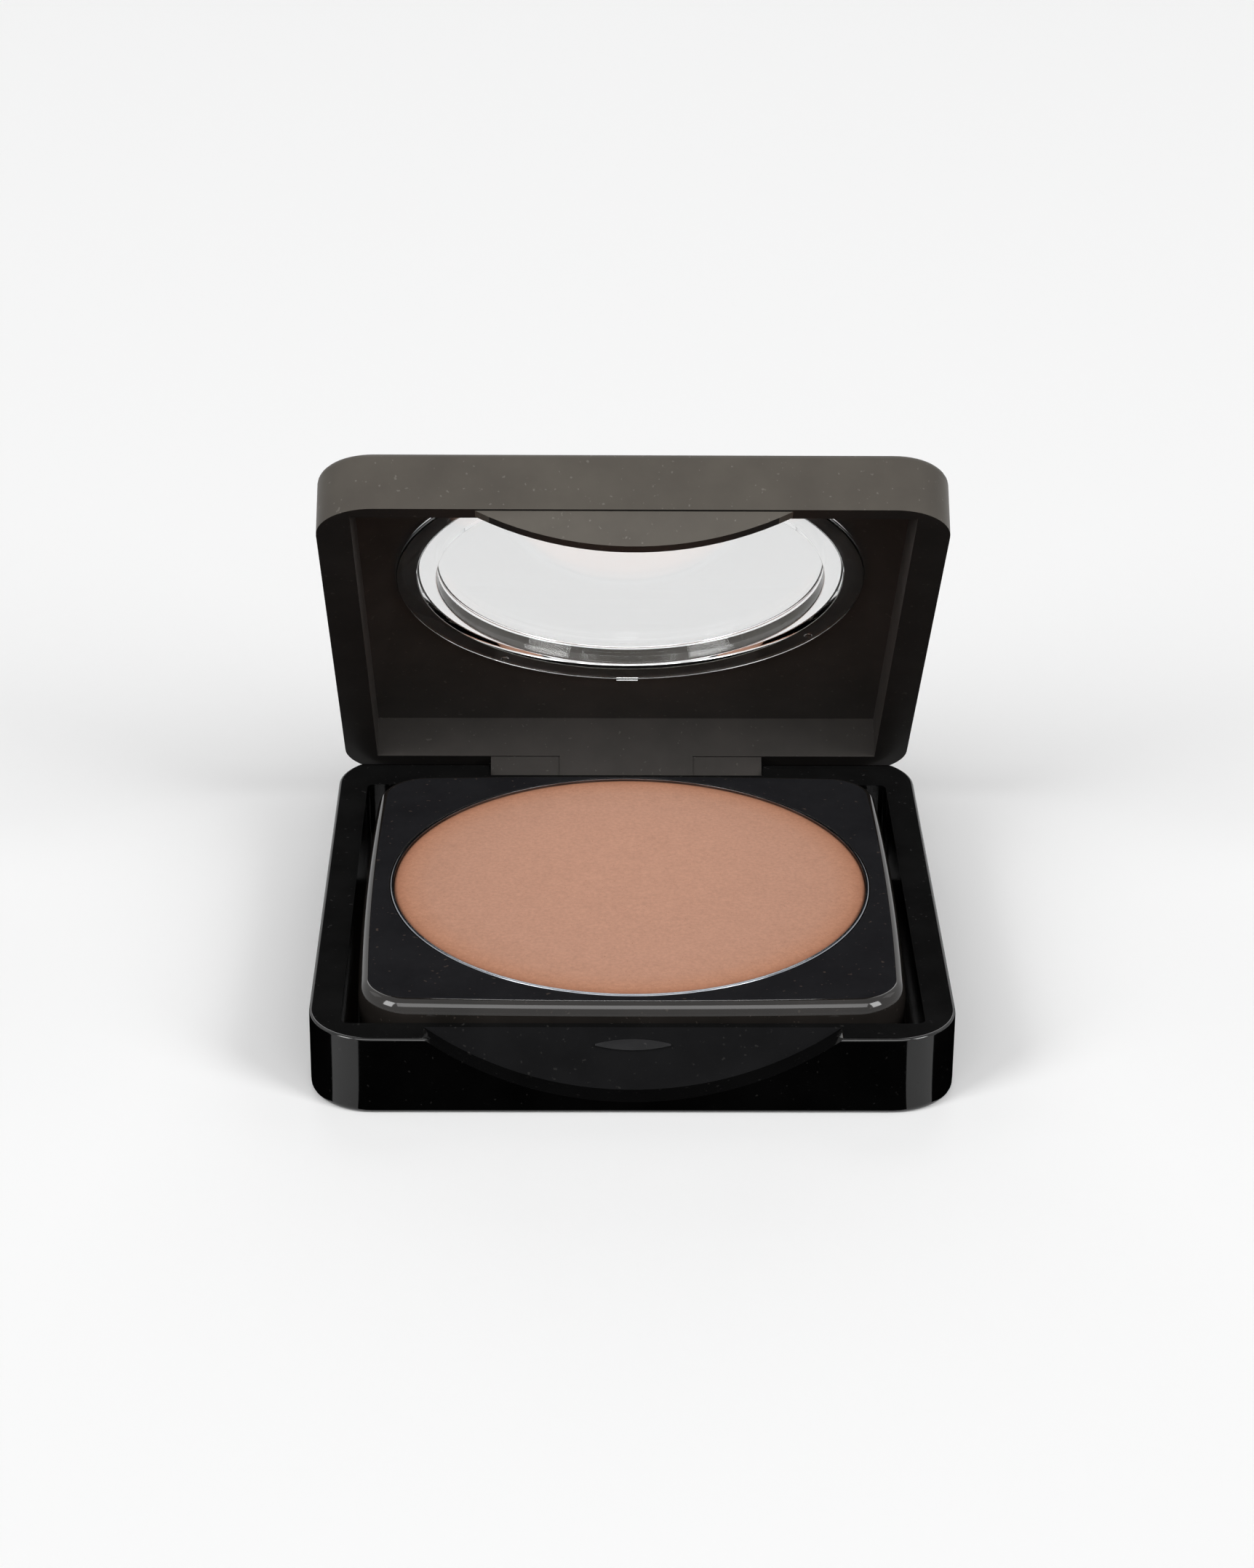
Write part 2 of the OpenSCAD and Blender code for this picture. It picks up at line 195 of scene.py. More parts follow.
# painted sheen: the catch bead, part of the near-black base, is painted grey for the light its gloss catches
beadSheenLook = {"dark": linear(38, 38, 39), "light": linear(52, 52, 53), "dust": linear(110, 108, 106),
    "dustiness": 0.15, "Grain Scale": 6000.0, "Grain": 0.4, "Wave": 0.3, "Smudge": 0.4,
    "Roughness": 0.3, "bump": 0.2, "specular": 0.1}
# painted shade: the lid's downward-facing rim is a darker copy of the lid's colour
lidRimShadeLook = {"dark": linear(30, 28, 27), "light": linear(36, 34, 33), "dust": linear(110, 106, 102),
    "dustiness": 0.15, "Grain Scale": 7000.0, "Grain": 0.6, "Wave": 0.3, "Smudge": 0.3,
    "Roughness": 0.45, "bump": 0.25, "specular": 0.05}
# painted reflection: the base's top rim gets no specular and a lighter flat colour in place of its gloss; the
# hinge slits take the same colour as painted shade
rimSheenAndSlitShadeLook = {"dark": linear(15, 15, 15), "light": linear(22, 22, 22), "dust": linear(100, 98, 96),
    "dustiness": 0.15, "Grain Scale": 9000.0, "Grain": 0.3, "Wave": 0.3, "Smudge": 0.4,
    "Roughness": 0.25, "bump": 0.1, "specular": 0.0}
deckLook = {"dark": linear(28, 28, 30), "light": linear(34, 34, 36), "dust": linear(140, 120, 105),
    "dustiness": 0.15, "Grain Scale": 6000.0, "Grain": 0.8, "Wave": 0.2, "Smudge": 0.2,
    "Roughness": 0.5, "bump": 0.3, "specular": 0.0}
# the tray edge's warm grey is partly its own dark colour and partly painted reflection of its surroundings
trayEdgeSheenLook = {"dark": linear(24, 22, 20), "light": linear(33, 30, 28), "dust": linear(120, 110, 100),
    "dustiness": 0.1, "Grain Scale": 6000.0, "Grain": 0.05, "Wave": 0.2, "Smudge": 0.2,
    "Roughness": 0.06, "bump": 0.05, "specular": 0.45}
glueLook = {"dark": linear(215, 208, 185), "light": linear(226, 220, 200), "dust": linear(200, 190, 170),
    "dustiness": 0.1, "Grain Scale": 4000.0, "Grain": 0.3, "Wave": 0.8, "Smudge": 0.5,
    "Roughness": 0.4, "bump": 0.3, "specular": 0.5}
baseGloss = mouldedPlastic("baseGloss", baseLook)
scoopSatin = mouldedPlastic("scoopSatin", scoopLook)
lidSatin = mouldedPlastic("lidSatin", lidLook)
lidInsidePaintedShade = mouldedPlastic("lidInsidePaintedShade", lidInsideShadeLook)
lidRimPaintedShade = mouldedPlastic("lidRimPaintedShade", lidRimShadeLook)
tabSatinPaintedLight = mouldedPlastic("tabSatinPaintedLight", tabLitLook)
catchBeadPaintedSheen = mouldedPlastic("catchBeadPaintedSheen", beadSheenLook)
rimSheenAndSlitShade = mouldedPlastic("rimSheenAndSlitShade", rimSheenAndSlitShadeLook)
trayDeck = mouldedPlastic("trayDeck", deckLook)
trayGlossPaintedSheen = mouldedPlastic("trayGlossPaintedSheen", trayEdgeSheenLook)
adhesiveFilm = mouldedPlastic("adhesiveFilm", glueLook)

powderLook = {"radius": 18.5, "centreY": -1.425, "grain": 3400.0, "mottle": 700.0,
    "grainShade": (0.88, 1.10), "mottleShade": (-0.03, 0.03), "bump": 0.5, "bumpDepth": 0.06*mm,
    "roughness": 0.95,
    # share of the radius, colour there; the darkening toward the rim is painted shade
    "rings": ((0.70, (186, 142, 121)), (0.85, (185, 140, 118)), (0.94, (182, 133, 108)),
        (0.975, (171, 121, 96)), (1.0, (146, 101, 79)))}


def makePressedPowder(look):
    # pressed talc: matte, a fine grain, and a darker ring at the rim that is painted shade of its rounded edge
    mat, tree, shader = startMaterial("pressedPowderFace")
    coords = addNode(tree, "ShaderNodeTexCoord").outputs["Object"]
    centred = addNode(tree, "ShaderNodeMapping")
    centred.inputs["Location"].default_value = (0, -look["centreY"]*mm, 0)
    tree.links.new(coords, centred.inputs["Vector"])
    flat = addNode(tree, "ShaderNodeVectorMath", operation="MULTIPLY")
    flat.inputs[1].default_value = (1, 1, 0)
    tree.links.new(centred.outputs[0], flat.inputs[0])
    reach = addNode(tree, "ShaderNodeVectorMath", operation="LENGTH")
    tree.links.new(flat.outputs[0], reach.inputs[0])
    ramp = addNode(tree, "ShaderNodeValToRGB")
    tree.links.new(mathNode(tree, "DIVIDE", reach.outputs["Value"], look["radius"]*mm), ramp.inputs["Fac"])
    stops = ramp.color_ramp.elements
    while len(stops) < len(look["rings"]):
        stops.new(0.5)   # its place is set below
    for stop, (place, colour) in zip(stops, look["rings"]):
        stop.position, stop.color = place, linear(*colour)
    grain = noiseNode(tree, coords, look["grain"], 4.0, 0.7)
    mottle = noiseNode(tree, coords, look["mottle"], 4.0, 0.6)
    shade = mathNode(tree, "ADD", remap(tree, grain, 0.3, 0.7, *look["grainShade"]),
        remap(tree, mottle, 0.3, 0.7, *look["mottleShade"]))
    scaled = addNode(tree, "ShaderNodeVectorMath", operation="SCALE")
    tree.links.new(ramp.outputs["Color"], scaled.inputs[0])
    tree.links.new(shade, scaled.inputs["Scale"])
    tree.links.new(scaled.outputs[0], shader.inputs["Base Color"])
    bump = addNode(tree, "ShaderNodeBump")
    bump.inputs["Strength"].default_value = look["bump"]
    bump.inputs["Distance"].default_value = look["bumpDepth"]
    tree.links.new(grain, bump.inputs["Height"])
    tree.links.new(bump.outputs["Normal"], shader.inputs["Normal"])
    shader.inputs["Roughness"].default_value = look["roughness"]
    shader.inputs["Specular IOR Level"].default_value = 0.0
    return mat


def brightMetal(name, tint, light, roughness):
    mat, tree, shader = startMaterial(name)
    coords = addNode(tree, "ShaderNodeTexCoord").outputs["Object"]
    cloud = noiseNode(tree, coords, 500.0, 2.0)
    tree.links.new(mixColour(tree, cloud, tint, light), shader.inputs["Base Color"])
    tree.links.new(remap(tree, cloud, 0.3, 0.7, roughness*0.9, roughness*1.1), shader.inputs["Roughness"])
    shader.inputs["Metallic"].default_value = 1.0
    return mat


windowLook = {"wave": 90.0, "haze": 500.0, "roughest": 0.02, "bump": 0.05, "bumpDepth": 0.1*mm,
    "dark": linear(253, 254, 254), "light": linear(255, 255, 255), "ior": 1.49}


def makeClearWindow(look):
    # polished clear plastic with faint moulding waviness
    mat, tree, shader = startMaterial("clearWindow")
    coords = addNode(tree, "ShaderNodeTexCoord").outputs["Object"]
    wave = noiseNode(tree, coords, look["wave"], 2.0)
    haze = noiseNode(tree, coords, look["haze"], 4.0)
    tree.links.new(remap(tree, haze, 0.3, 0.8, 0.0, look["roughest"]), shader.inputs["Roughness"])
    tree.links.new(mixColour(tree, haze, look["dark"], look["light"]), shader.inputs["Base Color"])
    bump = addNode(tree, "ShaderNodeBump")
    bump.inputs["Strength"].default_value = look["bump"]
    bump.inputs["Distance"].default_value = look["bumpDepth"]
    tree.links.new(wave, bump.inputs["Height"])
    tree.links.new(bump.outputs["Normal"], shader.inputs["Normal"])
    shader.inputs["Transmission Weight"].default_value = 1.0
    shader.inputs["IOR"].default_value = look["ior"]
    return mat


grainLook = {"patch": 3000.0, "dark": linear(160, 116, 94), "light": linear(190, 146, 125), "roughness": 0.95}


def makeLooseGrain(look):
    # single grains lying on the cake, each a little paler or darker than what it lies on
    mat, tree, shader = startMaterial("looseGrain")
    coords = addNode(tree, "ShaderNodeTexCoord").outputs["Object"]
    patch = noiseNode(tree, coords, look["patch"], 1.0)
    paler = remap(tree, patch, 0.35, 0.65, 0.0, 1.0)
    tree.links.new(mixColour(tree, paler, look["dark"], look["light"]), shader.inputs["Base Color"])
    shader.inputs["Roughness"].default_value = look["roughness"]
    shader.inputs["Specular IOR Level"].default_value = 0.0
    return mat


powderFace = makePressedPowder(powderLook)
looseGrain = makeLooseGrain(grainLook)
panMetal = brightMetal("panMetal", linear(112, 115, 121), linear(160, 163, 168), 0.22)
pinSteel = brightMetal("pinSteel", linear(170, 170, 172), linear(225, 226, 228), 0.3)
clearWindow = makeClearWindow(windowLook)
print("materials made")


# the frame is at the shown pose, so lid pieces drawn shut are swung open by the hinge
hinge = frame["joints"][0]
hingePoint = Vector(hinge["pos_m"])
shownAngle = math.radians(-hinge["range_deg"][0])
swungOpen = (Matrix.Translation(hingePoint) @ Matrix.Rotation(-shownAngle, 4, "X")
    @ Matrix.Translation(-hingePoint))


def placePiece(name, mesh, body, node, material):
    mesh.materials.clear()
    mesh.materials.append(material)
    piece = bpy.data.objects.new(name, mesh)
    bpy.context.scene.collection.objects.link(piece)
    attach(piece, body)
    if node:
        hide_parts(node)
    print("made", name)
    return piece


# the frame's own solids, with their sharp edges eased so that they catch the light; ease is in mm
mouldings = {
    "base_shell": {"piece": "baseMoulding", "body": "base", "material": baseGloss, "ease": 0.10},
    "lid_shell": {"piece": "lidMoulding", "body": "lid", "material": lidSatin, "ease": 0.06},
}
easing = {"weld": 0.002, "sameFace": 0.4, "sharpFrom": 38, "steps": 2, "flatWeight": 80}   # mm and degrees


def flattenNormals(piece):
    flatten = piece.modifiers.new("flatFaces", "WEIGHTED_NORMAL")
    flatten.weight = easing["flatWeight"]


def easedPiece(node, spec):
    mesh = nodes[node].data.copy()
    mesh.name = spec["piece"]
    work = bmesh.new()
    work.from_mesh(mesh)
    bmesh.ops.remove_doubles(work, verts=work.verts, dist=easing["weld"]*mm)
    bmesh.ops.dissolve_limit(work, angle_limit=math.radians(easing["sameFace"]), verts=work.verts,
        edges=work.edges)
    for face in work.faces:
        face.smooth = True
    work.to_mesh(mesh)
    work.free()
    piece = placePiece(spec["piece"], mesh, spec["body"], node, spec["material"])
    bevel = piece.modifiers.new("easedEdges", "BEVEL")
    bevel.width = spec["ease"]*mm
    bevel.segments = easing["steps"]
    bevel.limit_method = "ANGLE"
    bevel.angle_limit = math.radians(easing["sharpFrom"])
    bevel.use_clamp_overlap = True
    flattenNormals(piece)


for node, spec in mouldings.items():
    easedPiece(node, spec)


def finishFaces(piece, material, chosen):
    # gives the chosen faces another texture
    piece.data.materials.append(material)
    for face in piece.data.polygons:
        if chosen(face):
            face.material_index = len(piece.data.materials) - 1


# heights and places of the faces to be finished, in mm
baseSize = {"scoopIn": 1.8, "scoopBand": (-0.4, 0.02), "rim": 6.3, "beadY": (-22.9, -22.42), "beadX": 5.0,
    "beadZ": (3.0, 6.0)}
lidSize = {"halfWidth": 23.6, "front": -24.0, "back": 24.2, "rim": 6.6, "wall": 0.8, "tabFront": -20.0,
    "windowY": -4.1, "windowRadius": 16.8, "windowMargin": 0.3, "windowSeat": 11.3}
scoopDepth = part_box("base_shell")[0].y/mm + baseSize["scoopIn"]
swungShut = swungOpen.inverted()


def within(value, limits):
    return limits[0] < value < limits[1]


def inScoop(face):
    return face.normal.y < -0.99 and within(face.center.y/mm - scoopDepth, baseSize["scoopBand"])


# the base's top rim, which gets painted sheen in place of its gloss
def onBaseRim(face):
    return face.normal.z > 0.99 and face.center.z/mm > baseSize["rim"]


# the catch bead, which gets painted sheen
def onBead(face):
    x, y, z = face.center/mm
    return within(y, baseSize["beadY"]) and abs(x) < baseSize["beadX"] and within(z, baseSize["beadZ"])


def shutFace(face):
    # where a lid face is, in mm, and which way it looks once the lid is shut
    return (swungShut @ face.center)/mm, (swungShut.to_3x3() @ face.normal).normalized()


def insideLid(face):
    # what the closed lid hides, given a darker copy of the lid's colour as painted shade: its rim and the
    # walls, roof and window seat behind it
    spot, way = shutFace(face)
    fromWindow = math.hypot(spot.x, spot.y - lidSize["windowY"]) - lidSize["windowRadius"]
    if fromWindow < lidSize["windowMargin"] and spot.z > lidSize["windowSeat"]:
        return False
    outwards = Vector((spot.x, spot.y - (lidSize["front"] + lidSize["back"])/2, 0))
    fromSide = lidSize["halfWidth"] - abs(spot.x)
    fromEnd = min(spot.y - lidSize["front"], lidSize["back"] - spot.y)
    return min(fromSide, fromEnd) > lidSize["wall"] and (way.z < -0.2 or way.dot(outwards) < 0)


# the lid's rim, which gets painted shade
def onLidRim(face):
    spot, way = shutFace(face)
    return way.z < -0.9 and spot.z < lidSize["rim"] + 0.05


# the lid's tab, which gets painted light
def onTab(face):
    spot, way = shutFace(face)
    return way.y < -0.9 and spot.z < lidSize["rim"] - 0.1 and spot.y < lidSize["tabFront"]


# a later finish goes over an earlier one; the scoop's satin is a real finish, while the base's rim and catch
# bead get painted sheen, the lid's inside and rim painted shade, and its tab painted light
finishes = {
    "baseMoulding": ((scoopSatin, inScoop), (rimSheenAndSlitShade, onBaseRim), (catchBeadPaintedSheen, onBead)),
    "lidMoulding": ((lidInsidePaintedShade, insideLid), (lidRimPaintedShade, onLidRim), (tabSatinPaintedLight, onTab)),
}
for name, layers in finishes.items():
    for material, chosen in layers:
        finishFaces(bpy.data.objects[name], material, chosen)
print("faces finished")


traySize = {"width": 41.6, "depth": 39.85, "centreY": -1.675, "corner": 3.6, "bow": 0.5, "top": 7.8,
    "sideEdge": 0.75, "endEdge": 0.75, "drop": 1.4,   # the top edge, in from the side and down
    "seatRadius": 18.8, "seatY": -1.425, "seatEase": 0.05,
    "cornerSteps": 20, "sideSteps": 24, "edgeSteps": 16}


def bowedOutline(size, inwards):
    # a rectangle with round corners whose sides bow outwards, drawn in by a share of its edge
    atSide, atEnd = size["sideEdge"]*inwards, size["endEdge"]*inwards
    r, bow = size["corner"] - (atSide + atEnd)/2, size["bow"]
    turns, mids = size["cornerSteps"], size["sideSteps"]
    hx, hy = size["width"]/2 - atSide - bow, size["depth"]/2 - atEnd - bow
    points = []
    for k in range(4):
        sx, sy = (1 if k in (0, 3) else -1), (1 if k < 2 else -1)
        run, way = (2*(hx - r), (-sx, 0)) if k % 2 == 0 else (2*(hy - r), (0, -sy))
        for i in range(turns + mids):
            a = math.radians(90*k + 90*min(i, turns)/turns)
            t = run*max(0, i - turns)/mids
            x = sx*(hx - r) + r*math.cos(a) + way[0]*t
            y = sy*(hy - r) + r*math.sin(a) + way[1]*t
            points.append((x + math.copysign(bow*abs(x)/hx*(1 - (y/hy)**2), x),
                y + math.copysign(bow*abs(y)/hy*(1 - (x/hx)**2), y)))
    return points


def makeTray(size):
    # the top edge is a quarter ellipse, and the wall below it is upright
    top, drop, foot = size["top"], size["drop"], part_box("pan_tray")[0].z/mm
    seat, ease = size["seatRadius"], size["seatEase"]
    full = bowedOutline(size, 0)

    def seatRing(radius):
        turns = [math.atan2(y + size["centreY"] - size["seatY"], x) for x, y in full]
        return [(radius*math.cos(a), radius*math.sin(a) + size["seatY"] - size["centreY"]) for a in turns]

    rings = [(seatRing(seat), foot), (seatRing(seat), top - ease), (seatRing(seat + ease), top)]
    for k in range(size["edgeSteps"] + 1):
        a = math.pi/2*k/size["edgeSteps"]
        rings.append((bowedOutline(size, 1 - math.sin(a)), top - drop*(1 - math.cos(a))))
    rings.append((full, foot))
    work = bmesh.new()
    made = [[work.verts.new((x*mm, (y + size["centreY"])*mm, z*mm)) for x, y in ring]
        for ring, z in rings]
    count = len(full)
    for low, high in zip(made, made[1:] + made[:1]):
        for k in range(count):
            j = (k + 1) % count
            work.faces.new((low[k], low[j], high[j], high[k])).smooth = True
    bmesh.ops.recalc_face_normals(work, faces=work.faces)
    mesh = bpy.data.meshes.new("trayMoulding")
    work.to_mesh(mesh)
    work.free()
    piece = placePiece("trayMoulding", mesh, "base", "pan_tray", trayGlossPaintedSheen)
    finishFaces(piece, trayDeck, lambda face: face.normal.z > 0.9995)
    flattenNormals(piece)


makeTray(traySize)

slitShadeSize = {"inner": 11.43, "outer": 11.6, "y": (21.05, 24.0), "z": (4.2, 6.3), "round": 0.5,
    "cornerSteps": 6}


def makeSlitShade(size):
    # thin dark sheets, painted shade, that close the slits at the ends of the hinge's tongue
    work = bmesh.new()
    (y0, y1), (z0, z1), r, steps = size["y"], size["z"], size["round"], size["cornerSteps"]
    corners = ((y1 - r, z1 - r), (y0 + r, z1 - r), (y0 + r, z0 + r), (y1 - r, z0 + r))
    outline = []
    for i, (cy, cz) in enumerate(corners):
        for k in range(steps + 1):
            a = math.radians(90*i + 90*k/steps)
            outline.append((cy + r*math.cos(a), cz + r*math.sin(a)))
    for side in (-1, 1):
        rings = [[work.verts.new((side*x*mm, y*mm, z*mm)) for y, z in outline]
            for x in (size["inner"], size["outer"])]
        for k in range(len(outline)):
            j = (k + 1) % len(outline)
            work.faces.new((rings[0][k], rings[0][j], rings[1][j], rings[1][k]))
        for ring in rings:
            work.faces.new(ring)
    bmesh.ops.recalc_face_normals(work, faces=work.faces)
    mesh = bpy.data.meshes.new("hingeCheeks")
    work.to_mesh(mesh)
    work.free()
    placePiece("hingeCheeks", mesh, "base", None, rimSheenAndSlitShade)


makeSlitShade(slitShadeSize)


def roundedProfile(corners, steps=5):
    # (radius, height, rounding) corners in order, with each rounding drawn as an arc
    points = []
    for i, (r, z, ease) in enumerate(corners):
        here = Vector((r, z))
        if ease == 0 or i in (0, len(corners) - 1):
            points.append(here)
            continue
        toLast = (Vector(corners[i - 1][:2]) - here).normalized()
        toNext = (Vector(corners[i + 1][:2]) - here).normalized()
        half = toLast.angle(toNext)/2
        reach = ease/math.tan(half)
        centre = here + (toLast + toNext).normalized()*ease/math.sin(half)
        start, end = here + toLast*reach - centre, here + toNext*reach - centre
        turn = start.angle_signed(end)
        for k in range(steps + 1):
            a = -turn*k/steps
            points.append(centre + Vector((start.x*math.cos(a) - start.y*math.sin(a),
                start.x*math.sin(a) + start.y*math.cos(a))))
    return points


def turnedMesh(name, profile, centreY, around=256):
    # turns a profile, in mm, about an upright axis; ends on the axis close to a point
    work = bmesh.new()
    rings = []
    for p in profile:
        if p.x < 1e-6:
            rings.append([work.verts.new((0, centreY*mm, p.y*mm))])
        else:
            rings.append([work.verts.new((p.x*mm*math.cos(a), centreY*mm + p.x*mm*math.sin(a), p.y*mm))
                for a in (2*math.pi*k/around for k in range(around))])
    for low, high in zip(rings, rings[1:]):
        for k in range(around):
            quad = [low[k % len(low)], low[(k + 1) % len(low)], high[(k + 1) % len(high)], high[k % len(high)]]
            face = work.faces.new(list(dict.fromkeys(quad)))
            face.smooth = True
    bmesh.ops.recalc_face_normals(work, faces=work.faces)
    mesh = bpy.data.meshes.new(name)
    work.to_mesh(mesh)
    work.free()
    return mesh


windowSize = {"holeRadius": 16.7, "ringWall": 1.5, "flangeRadius": 18.4, "flange": 0.5, "pane": 0.5,
    "foot": 10.6, "top": 12.6, "centreY": -4.1, "ease": 0.16, "stepEase": 0.05}
pipSize = {"radius": 0.35, "stands": 0.12, "turns": (35, -56), "around": 24, "rows": 12}
gateSize = {"across": 1.8, "y": (-0.3, 0.12), "z": (-0.02, 0.26)}   # from the flange's edge and its foot


def makeWindow(size):
    inner = size["holeRadius"] - size["ringWall"]
    foot, top, ease = size["foot"], size["top"], size["ease"]
    profile = roundedProfile([
        (0, top - size["pane"], 0), (inner, top - size["pane"], ease), (inner, foot, ease),
        (size["flangeRadius"], foot, ease), (size["flangeRadius"], foot + size["flange"], ease),
        (size["holeRadius"], foot + size["flange"], size["stepEase"]), (size["holeRadius"], top, ease),
        (0, top, 0)])
    mesh = turnedMesh("windowMoulding", profile, size["centreY"])
    mesh.transform(swungOpen)
    placePiece("windowMoulding", mesh, "lid", "window_lens", clearWindow)


makeWindow(windowSize)


def makePips(size, pip, gate):
    # the two small ejector pips, low domes on the flange, and the trimmed gate at its rear
    work = bmesh.new()
    middle = (size["flangeRadius"] + size["holeRadius"])/2
    for turn in pip["turns"]:
        a = math.radians(90 + turn)
        spot = Vector((middle*math.cos(a), size["centreY"] + middle*math.sin(a), size["foot"]))*mm
        dome = bmesh.ops.create_uvsphere(work, u_segments=pip["around"], v_segments=pip["rows"],
            radius=pip["radius"]*mm)
        for v in dome["verts"]:
            v.co.z *= pip["stands"]/pip["radius"]
            v.co += spot
    for face in work.faces:
        face.smooth = True
    for v in bmesh.ops.create_cube(work, size=1.0)["verts"]:
        y = size["centreY"] + size["flangeRadius"] + gate["y"][v.co.y > 0]
        v.co = Vector((v.co.x*gate["across"], y, size["foot"] + gate["z"][v.co.z > 0]))*mm
    mesh = bpy.data.meshes.new("windowPips")
    work.to_mesh(mesh)
    work.free()
    mesh.transform(swungOpen)
    placePiece("windowPips", mesh, "lid", None, clearWindow)


makePips(windowSize, pipSize, gateSize)

# the cut edge is sharp inside and eased outside
panSize = {"radius": 18.75, "sheet": 0.25, "top": 7.85, "foot": 3.5, "centreY": -1.425, "lip": 0.10,
    "sharp": 0.01, "footInside": 0.2, "footOutside": 0.4}


def makePan(size):
    r, t = size["radius"], size["sheet"]
    profile = roundedProfile([
        (0, size["foot"] + t, 0), (r - t, size["foot"] + t, size["footInside"]),
        (r - t, size["top"], size["sharp"]), (r, size["top"], size["lip"]),
        (r, size["foot"], size["footOutside"]), (0, size["foot"], 0)])
    mesh = turnedMesh("panPressing", profile, size["centreY"])
    placePiece("panPressing", mesh, "base", "powder_pan", panMetal)


makePan(panSize)


def newTree(name, inputs):
    tree = bpy.data.node_groups.new(name, "GeometryNodeTree")
    for label, kind, value in inputs:
        socket = tree.interface.new_socket(label, in_out="INPUT", socket_type=kind)
        socket.default_value = value
    tree.interface.new_socket("Geometry", in_out="OUTPUT", socket_type="NodeSocketGeometry")
    return tree, tree.nodes.new("NodeGroupInput").outputs, tree.nodes.new("NodeGroupOutput")


def feed(tree, node, **values):
    # sets or links a node's inputs by name, with _ for a space
    for label, value in values.items():
        setOrLink(tree, node.inputs[label.replace("_", " ")], value)
    return node


def closeTree(tree, out, geometry, material):
    real = feed(tree, addNode(tree, "GeometryNodeRealizeInstances"), Geometry=geometry)
    dressed = feed(tree, addNode(tree, "GeometryNodeSetMaterial"), Geometry=real.outputs[0], Material=material)
    tree.links.new(dressed.outputs[0], out.inputs["Geometry"])


def meshFromTree(name, tree, values):
    # runs a tree once and keeps what it makes as a plain mesh
    holder = bpy.data.objects.new(name + "Maker", bpy.data.meshes.new(name + "Maker"))
    bpy.context.scene.collection.objects.link(holder)
    modifier = holder.modifiers.new(name, "NODES")
    modifier.node_group = tree
    for socket in tree.interface.items_tree:
        if socket.in_out == "INPUT" and socket.name in values:
            modifier[socket.identifier] = values[socket.name]
    graph = bpy.context.evaluated_depsgraph_get()
    mesh = bpy.data.meshes.new_from_object(holder.evaluated_get(graph), depsgraph=graph)
    mesh.name = name
    holder.modifiers.remove(modifier)
    bpy.data.objects.remove(holder)
    return mesh


powderSize = {"Radius": 18.5*mm, "Foot": 3.75*mm, "Edge": 7.7*mm, "Dome": 0.4*mm, "Centre Y": -1.425*mm,
    "Ripple": 0.006*mm, "Rings": 110, "Around": 360}
# what isn't an input of the trees: shares of the radius or of the rings, a noise scale per metre, a depth
cakeShape = {"topShare": 0.96, "rippleScale": 900.0, "rippleEnds": 0.97, "crumbleFrom": 0.993,
    "crumble": 0.08*mm}
grainSize = {"Radius": 18.1*mm, "Edge": 7.7*mm, "Dome": 0.4*mm, "Cake Radius": 18.5*mm, "Centre Y": -1.425*mm,
    "Density": 3.6e6, "Grain": 0.035*mm, "Spread": 0.03*mm, "Seed": 7}
grainShape = {"discSides": 96, "flatness": 0.4}
floatKind, intKind = "NodeSocketFloat", "NodeSocketInt"


def domeHeight(tree, reach, radius, edge, dome):
    # a shallow arc taken as a parabola
    share = mathNode(tree, "POWER", mathNode(tree, "DIVIDE", reach, radius), 2.0)
    rise = mathNode(tree, "MULTIPLY", dome, mathNode(tree, "SUBTRACT", 1.0, share))
    return mathNode(tree, "ADD", edge, rise)


